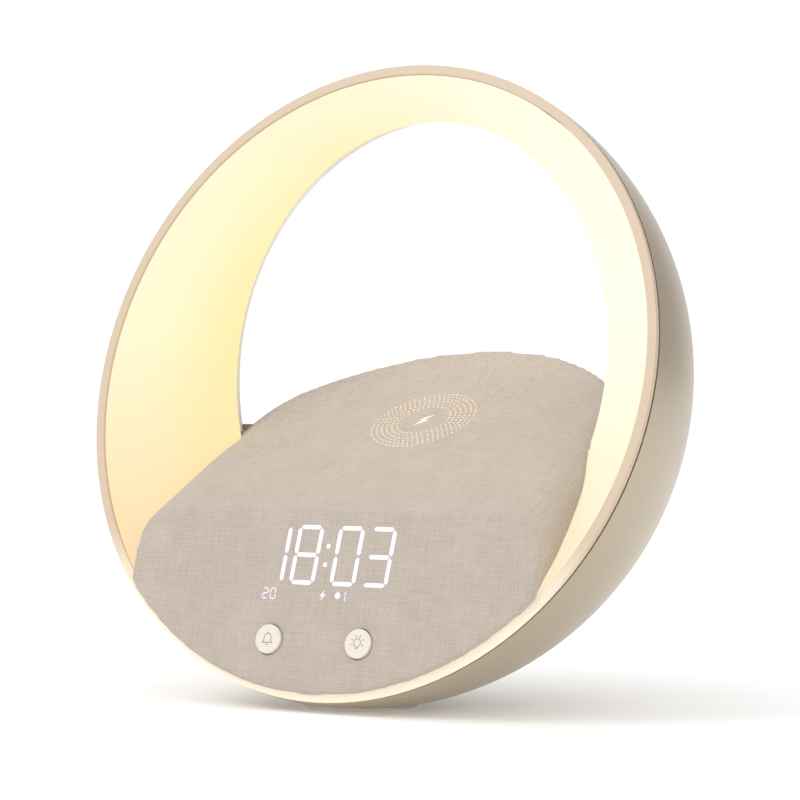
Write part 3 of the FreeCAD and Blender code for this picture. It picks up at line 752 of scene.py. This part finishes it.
def add_digit(work, number, x, rise, width, height, stroke, place):
    """Lit strokes of one digit, with mitred ends."""
    lines = segment_lines(width, height)
    for name in LIT[number]:
        start, stop = (Vector(point) for point in lines[name])
        along = (stop - start).normalized()
        across = Vector((-along.y, along.x)) * stroke / 2
        start = start + along * stroke * 0.22
        stop = stop - along * stroke * 0.22
        tip = along * stroke / 2
        outline = [start, start + tip - across, stop - tip - across, stop, stop - tip + across,
                   start + tip + across]
        outline = [(x + point.x, rise + point.y) for point in outline]
        add_prism(work, outline, -FACE_PROUD - LIGHT_PROUD, -FACE_PROUD + LIGHT_SUNK, place)


def disc(x, rise, radius, count=16):
    """Outline of a round dot."""
    angles = [2 * math.pi * index / count for index in range(count)]
    return [(x + radius * math.cos(angle), rise + radius * math.sin(angle)) for angle in angles]


class CLOCK_OT_display(bpy.types.Operator):
    """Light the time and the small marks under the fabric"""

    bl_idname = "clock.display"
    bl_label = "Lit display"

    def execute(self, context):
        show = context.scene.clock_display
        digits = bmesh.new()

        def slanted(x, depth, rise):
            return ring_point(x + (rise - show.rise) * math.tan(show.slant), depth, rise)

        outer = show.centre + show.pitch
        places = (-outer, -show.centre, show.centre, outer)
        numbers = (*divmod(show.hours, 10), *divmod(show.minutes, 10))
        for number, x in zip(numbers, places):
            add_digit(digits, number, x, show.rise, show.width, show.height, show.stroke, slanted)
        front, back = -FACE_PROUD - LIGHT_PROUD, -FACE_PROUD + LIGHT_SUNK
        for level in (-1, 1):
            dot = disc(0, show.rise + level * show.height / 6, show.stroke * 0.55)
            add_prism(digits, dot, front, back, slanted)
        self.place(context, digits, "lit_digits", 1.0)

        marks = bmesh.new()
        low = show.marks_rise
        small = {"width": 2.0 * MM, "height": 3.6 * MM, "stroke": 0.42 * MM, "place": ring_point}
        for number, x in ((2, -23.2 * MM), (0, -20.0 * MM), (1, 9.0 * MM)):
            add_digit(marks, number, x, low, **small)
        bolt = [((x + 0.4) * MM, rise * MM + low) for x, rise in SMALL_BOLT]
        add_prism(marks, bolt, front, back, ring_point)
        add_prism(marks, disc(6.9 * MM, low + 0.2 * MM, 1.2 * MM), front, back, ring_point)
        self.place(context, marks, "lit_marks", 0.75)
        return {"FINISHED"}

    def place(self, context, work, name, share):
        """Close the lights' mesh, give it its glow and tie it to the housing."""
        if not work.faces:
            raise RuntimeError(name + " has no faces")
        show = context.scene.clock_display
        close_normals(work)
        piece = mesh_from(name, work)
        pitch = context.scene.clock_fabric.thread_pitch
        piece.data.materials.append(
            lit_digit(name, context.scene.clock_finish, show.brightness * share, pitch))
        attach(piece, "housing")


def dotted_ring_tree():
    """Rings of small raised dots about the origin, their sizes and places a little uneven."""
    tree = bpy.data.node_groups.new("Dotted ring", "GeometryNodeTree")
    sockets = (("Outer Radius", "NodeSocketFloat"), ("Ring Pitch", "NodeSocketFloat"),
               ("Rings", "NodeSocketInt"), ("Dot Radius", "NodeSocketFloat"), ("Seed", "NodeSocketInt"),
               ("Material", "NodeSocketMaterial"))
    for name, kind in sockets:
        tree.interface.new_socket(name, in_out="INPUT", socket_type=kind)
    tree.interface.new_socket("Geometry", in_out="OUTPUT", socket_type="NodeSocketGeometry")
    given = node(tree, "NodeGroupInput").outputs

    rings = node(tree, "GeometryNodeMeshLine", {"Count": given["Rings"]}).outputs["Mesh"]
    index = node(tree, "GeometryNodeInputIndex").outputs[0]
    radius = calc(tree, "MULTIPLY_ADD", index, calc(tree, "MULTIPLY", given["Ring Pitch"], -1.0),
                  given["Outer Radius"])
    kept = node(tree, "GeometryNodeCaptureAttribute", {"Geometry": rings}, domain="POINT")
    kept.capture_items.new("FLOAT", "Radius")
    tree.links.new(radius, kept.inputs["Radius"])
    around = calc(tree, "DIVIDE", calc(tree, "MULTIPLY", kept.outputs["Radius"], 2 * math.pi),
                  given["Ring Pitch"])
    around = calc(tree, "ROUND", around)
    copies = node(tree, "GeometryNodeDuplicateElements", {
        "Geometry": kept.outputs["Geometry"], "Amount": around}, domain="POINT")
    turn = calc(tree, "MULTIPLY", copies.outputs["Duplicate Index"], 2 * math.pi)
    turn = calc(tree, "DIVIDE", turn, around)
    spot = node(tree, "ShaderNodeCombineXYZ", {
        0: calc(tree, "MULTIPLY", kept.outputs["Radius"], calc(tree, "COSINE", turn)),
        1: calc(tree, "MULTIPLY", kept.outputs["Radius"], calc(tree, "SINE", turn))}).outputs[0]
    placed = node(tree, "GeometryNodeSetPosition", {
        "Geometry": copies.outputs["Geometry"], "Position": spot})

    dot = node(tree, "GeometryNodeMeshCylinder", {
        "Vertices": 8, "Radius": given["Dot Radius"], "Depth": 2 * MARK_HALF_THICKNESS})
    size = node(tree, "FunctionNodeRandomValue", {"Min": 0.8, "Max": 1.15, "Seed": given["Seed"]},
                data_type="FLOAT")
    size_out = next(one for one in size.outputs if one.enabled)
    set_on = node(tree, "GeometryNodeInstanceOnPoints", {
        "Points": placed.outputs[0], "Instance": dot.outputs["Mesh"], "Scale": size_out})
    plain = node(tree, "GeometryNodeRealizeInstances", {"Geometry": set_on.outputs[0]})
    coloured = node(tree, "GeometryNodeSetMaterial", {
        "Geometry": plain.outputs[0], "Material": given["Material"]})
    node(tree, "NodeGroupOutput", {0: coloured.outputs[0]})
    return tree


def give_inputs(modifier, values):
    """Set a Geometry Nodes modifier's inputs by their sockets' identifiers."""
    for item in modifier.node_group.interface.items_tree:
        if item.item_type == "SOCKET" and item.in_out == "INPUT" and item.name in values:
            modifier[item.identifier] = values[item.name]


# Outline of the bolt in the charging mark, in millimetres
BOLT = ((2.6, 4.4), (-2.2, 0.1), (-0.3, 0.1), (-2.6, -4.4), (2.2, -0.1), (0.3, -0.1))


def pad_matrix():
    """Frame on the pad's surface at the charging mark: x across, y up the slope, z off the pad."""
    middle = Vector((0.0, MARK_DEPTH, MARK_RISE)) - PAD_CENTRE
    surface = PAD_CENTRE + PAD_RUN * middle.dot(PAD_RUN)
    surface += PAD_NORMAL * (-PAD_OFFSET - surface.dot(PAD_NORMAL))
    turn = Matrix((Vector((1, 0, 0)), PAD_RUN, PAD_NORMAL)).transposed().to_4x4()
    return RING_TO_PART @ Matrix.Translation(surface + PAD_NORMAL * MARK_LIFT) @ turn


class CLOCK_OT_charging_mark(bpy.types.Operator):
    """Print the dotted charging mark on the pad"""

    bl_idname = "clock.charging_mark"
    bl_label = "Charging mark"

    def execute(self, context):
        mark = context.scene.clock_mark
        print_ink = mottled("mark_print", srgb(232, 218, 200), 0.7, spread=0.05, grain=2000.0)
        piece = link_mesh("charging_mark", bpy.data.meshes.new("charging_mark"))
        dots = piece.modifiers.new("dots", "NODES")
        dots.node_group = dotted_ring_tree()
        give_inputs(dots, {
            "Outer Radius": mark.outer_radius, "Ring Pitch": mark.ring_pitch, "Rings": mark.rings,
            "Dot Radius": mark.dot_radius, "Seed": mark.seed, "Material": print_ink})
        settle(piece)
        if not piece.data.polygons:
            raise RuntimeError("the charging mark has no dots")
        work = bmesh.new()
        work.from_mesh(piece.data)

        def flat(x, depth, rise):
            return Vector((x, rise, -depth))

        bolt = [(x * MM, rise * MM) for x, rise in BOLT]
        add_prism(work, bolt, -MARK_HALF_THICKNESS, MARK_HALF_THICKNESS, flat)
        bmesh.ops.transform(work, matrix=pad_matrix(), verts=work.verts[:])
        close_normals(work)
        work.to_mesh(piece.data)
        work.free()
        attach(piece, "housing")
        return {"FINISHED"}


def arc(x, rise, radius, start, stop, count=14):
    """Points of an arc, its angles in degrees."""
    angles = [math.radians(start + (stop - start) * index / count) for index in range(count + 1)]
    return [(x + radius * math.cos(angle), rise + radius * math.sin(angle)) for angle in angles]


def bell_lines():
    """Strokes of the bell icon, in millimetres about the button's middle."""
    dome = arc(0, 0.55, 1.35, 180, 0)
    body = [(-2.0, -1.25), (-1.5, -0.75)] + dome + [(1.5, -0.75), (2.0, -1.25)]
    return [(body, False), ([(-2.15, -1.3), (2.15, -1.3)], False), (arc(0, -1.55, 0.55, 200, 340), False),
            ([(0, 1.9), (0, 2.35)], False)]


def bulb_lines():
    """Strokes of the bulb icon with its rays."""
    glass = arc(0, 0.35, 1.35, -55, 235, 20)
    lines = [(glass + [(-0.65, -1.25), (0.65, -1.25)], True), ([(-0.55, -1.75), (0.55, -1.75)], False)]
    for turn in range(-20, 201, 44):
        angle = math.radians(turn)
        ray = [(reach * math.cos(angle), 0.35 + reach * math.sin(angle)) for reach in (1.95, 2.75)]
        lines.append((ray, False))
    return lines


class CLOCK_OT_button_icons(bpy.types.Operator):
    """Draw the bell and the bulb on the two buttons"""

    bl_idname = "clock.button_icons"
    bl_label = "Button icons"

    def execute(self, context):
        ink = mottled("icon_engraving", srgb(150, 136, 122), 0.6, grain=2500.0)
        front = -FACE_PROUD - BUTTON_PROUD - INK_PROUD
        for name, side, lines, body in (("bell_icon", -1, bell_lines(), "bell_key"),
                                        ("bulb_icon", 1, bulb_lines(), "light_key")):
            work = bmesh.new()

            def on_button(x, depth, rise, side=side):
                return ring_point(x + side * BUTTON_SPACING / 2, depth, rise + BUTTON_RISE)

            for path, closed in lines:
                path = [(x * MM, rise * MM) for x, rise in path]
                add_strip(work, path, INK_WIDTH, front, front + INK_THICKNESS, on_button, closed)
            if not work.faces:
                raise RuntimeError(name + " has no strokes")
            close_normals(work)
            piece = mesh_from(name, work)
            piece.data.materials.append(ink)
            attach(piece, body)
        return {"FINISHED"}


class CLOCK_OT_domes(bpy.types.Operator):
    """Make smooth-shaded copies of the silicone domes that sit under the buttons"""

    bl_idname = "clock.domes"
    bl_label = "Button domes"

    def execute(self, context):
        for name, joint in (("bell_dome", "bell_press"), ("light_dome", "light_press")):
            work = bmesh.new()
            work.from_mesh(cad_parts[name].data)
            bmesh.ops.remove_doubles(work, verts=work.verts[:], dist=MERGE_DISTANCE)
            dome = mesh_from(name + "_soft", work)
            dome.data.materials.append(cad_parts[name].material_slots[0].material)
            smooth_shade(dome)
            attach(dome, "housing")
            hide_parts(name)
            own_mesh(dome)
        return {"FINISHED"}


def node_finishes(look):
    """Finish of each node that keeps its own mesh."""
    board = circuit_board("circuit_board")
    button = mottled("button_plastic", look.button, 0.45, spread=0.03, grain=1800.0, Coat_Weight=0.1)
    chip = mottled("chip_plastic", srgb(44, 44, 46), 0.5)
    phosphor = mottled("led_plastic", srgb(240, 226, 160), 0.3)
    dome = mottled("dome_silicone", srgb(214, 214, 210), 0.4, Subsurface_Weight=0.2)
    return {
        "outer_shell": shell_paint("shell_paint", look.shell),
        "rear_cover": shell_paint("cover_paint", shade(look.shell, 0.96)),
        "rim_band": rim_paint("rim_paint", look),
        "parting_seal": mottled("seal_rubber", srgb(62, 48, 40), 0.7),
        "diffuser_wall": lit_wall("lit_diffuser", look),
        "ring_back_wall": mottled("back_plastic", srgb(232, 226, 210), 0.5, spread=0.03),
        "foot_pad": mottled("foot_rubber", srgb(214, 208, 198), 0.85, grain=1200.0, relief=0.1),
        "ballast_block": mottled("ballast_iron", srgb(92, 92, 94), 0.7, 0.8, 0.2, 700.0, 0.4),
        "rear_screws": brushed("screw_steel", srgb(176, 174, 172)),
        "body_core": mottled("core_plastic", srgb(222, 218, 210), 0.5),
        "display_mask": mottled("mask_plastic", srgb(36, 36, 38), 0.6),
        "display_leds": phosphor,
        "led_chips": phosphor,
        "front_board": board,
        "charger_board": board,
        "main_board": board,
        "bell_button": button,
        "light_button": button,
        "bell_dome": dome,
        "light_dome": dome,
        "charge_coil": wound_copper("coil_copper"),
        "ferrite_disc": mottled("ferrite", srgb(58, 58, 60), 0.4, grain=1500.0),
        "led_carrier": brushed("carrier_aluminium", srgb(206, 208, 210), 0.35),
        "led_strip": mottled("strip_film", srgb(236, 236, 230), 0.4),
        "speaker_frame": mottled("speaker_steel", srgb(48, 48, 50), 0.4, 0.5),
        "speaker_cone": mottled("cone_paper", srgb(52, 50, 50), 0.9, grain=600.0, relief=0.3),
        "board_chips": chip,
        "power_inlet": brushed("inlet_steel", srgb(186, 186, 188), 0.28),
        "coin_cell": brushed("cell_steel", srgb(192, 192, 194), 0.25),
        "cell_holder": mottled("holder_plastic", srgb(40, 40, 42), 0.5),
    }


class CLOCK_OT_finishes(bpy.types.Operator):
    """Give every kept node its finish"""

    bl_idname = "clock.finishes"
    bl_label = "Finishes"

    def execute(self, context):
        finishes = node_finishes(context.scene.clock_finish)
        for name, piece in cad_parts.items():
            if name == "fabric_cover":
                continue
            if name not in finishes:
                raise RuntimeError("no finish for " + name)
            if not piece.material_slots:
                piece.data.materials.append(None)
            for slot in piece.material_slots:
                slot.material = finishes[name]
        return {"FINISHED"}


def soft_light(name, place, aim, size, power, colour):
    """Large area light that faces a point."""
    lamp = bpy.data.lights.new(name, "AREA")
    lamp.shape = "DISK"
    lamp.size = size
    lamp.energy = power
    lamp.color = colour
    made = bpy.data.objects.new(name, lamp)
    made.location = place
    made.rotation_euler = (Vector(aim) - Vector(place)).to_track_quat("-Z", "Y").to_euler()
    bpy.context.scene.collection.objects.link(made)


def studio_sky(stage):
    """White all round, with a soft dark side that the casing mirrors; seen straight on it stays white."""
    world = bpy.data.worlds.new("studio")
    world.use_nodes = True
    tree = world.node_tree
    heading = node(tree, "ShaderNodeTexCoord").outputs["Generated"]
    toward = node(tree, "ShaderNodeVectorMath", {0: heading, 1: Vector(DARK_SIDE).normalized()},
                  operation="DOT_PRODUCT").outputs["Value"]
    dark = calc(tree, "MULTIPLY", between(tree, toward, 0.55, 0.95), stage.shade)
    seen = node(tree, "ShaderNodeLightPath").outputs["Is Camera Ray"]
    dark = calc(tree, "MULTIPLY", dark, calc(tree, "SUBTRACT", 1.0, seen))
    strength = calc(tree, "MULTIPLY", calc(tree, "SUBTRACT", 1.0, dark), stage.sky)
    tree.links.new(strength, tree.nodes["Background"].inputs["Strength"])
    tree.nodes["Background"].inputs["Color"].default_value = (1.0, 1.0, 1.0, 1.0)
    return world


class CLOCK_OT_stage(bpy.types.Operator):
    """Set up the pale floor, the studio light and the camera"""

    bl_idname = "clock.stage"
    bl_label = "Stage"

    def execute(self, context):
        stage = context.scene.clock_stage
        work = bmesh.new()
        bmesh.ops.create_grid(work, x_segments=1, y_segments=1, size=6.0)
        floor = mesh_from("floor", work)
        floor.data.materials.append(mottled(
            "floor_paint", stage.floor, 0.8, spread=0.01, grain=40.0, relief=0.0,
            Emission_Color=(1.0, 1.0, 1.0, 1.0), Emission_Strength=stage.under))

        context.scene.world = studio_sky(stage)
        context.scene.view_settings.view_transform = "Standard"

        soft_light("key_light", KEY_PLACE, MIDDLE, SOFT_LIGHT_SIZE, stage.key, (1.0, 0.98, 0.95))
        soft_light("fill_light", FILL_PLACE, MIDDLE, SOFT_LIGHT_SIZE, stage.fill, (1.0, 1.0, 1.0))
        ring_top = ring_point(0, LAMP_DEPTH, LAMP_RISE)
        pad_top = ring_point(0, MARK_DEPTH, MARK_RISE)
        soft_light("lamp_light", ring_top, pad_top, LAMP_LIGHT_SIZE, stage.lamp, (1.0, 0.82, 0.6))

        lens = bpy.data.cameras.new("camera")
        lens.lens = stage.lens
        lens.sensor_width = 36.0
        camera = bpy.data.objects.new("camera", lens)
        heading = Vector((math.sin(stage.turn), -math.cos(stage.turn), 0.0))
        camera.location = CAMERA_AIM + heading * stage.distance
        camera.rotation_euler = (math.radians(90) - stage.tilt, 0.0, stage.turn)
        context.scene.collection.objects.link(camera)
        context.scene.camera = camera
        return {"FINISHED"}


OPERATORS = (CLOCK_OT_finishes, CLOCK_OT_domes, CLOCK_OT_fabric, CLOCK_OT_display,
             CLOCK_OT_charging_mark, CLOCK_OT_button_icons, CLOCK_OT_stage)


class CLOCK_PT_panel(bpy.types.Panel):
    """Lists the clock's settings and the steps that dress it"""

    bl_idname = "CLOCK_PT_panel"
    bl_label = "Sunrise Alarm Clock"
    bl_space_type = "VIEW_3D"
    bl_region_type = "UI"
    bl_category = "Clock"

    def draw(self, context):
        for name, group in SETTINGS.items():
            box = self.layout.box()
            box.label(text=group.__doc__)
            for field in group.__annotations__:
                box.prop(getattr(context.scene, name), field)
        for operator in OPERATORS:
            self.layout.operator(operator.bl_idname)


CLASSES = (*SETTINGS.values(), *OPERATORS, CLOCK_PT_panel)


def register():
    for one in CLASSES:
        bpy.utils.register_class(one)
    for name, group in SETTINGS.items():
        setattr(bpy.types.Scene, name, bpy.props.PointerProperty(type=group))


def unregister():
    for name in SETTINGS:
        delattr(bpy.types.Scene, name)
    for one in reversed(CLASSES):
        bpy.utils.unregister_class(one)


def main():
    register()
    bpy.ops.clock.finishes()
    bpy.ops.clock.domes()
    bpy.ops.clock.fabric()
    bpy.ops.clock.display()
    bpy.ops.clock.charging_mark()
    bpy.ops.clock.button_icons()
    bpy.ops.clock.stage()


if __name__ == "__main__":
    main()
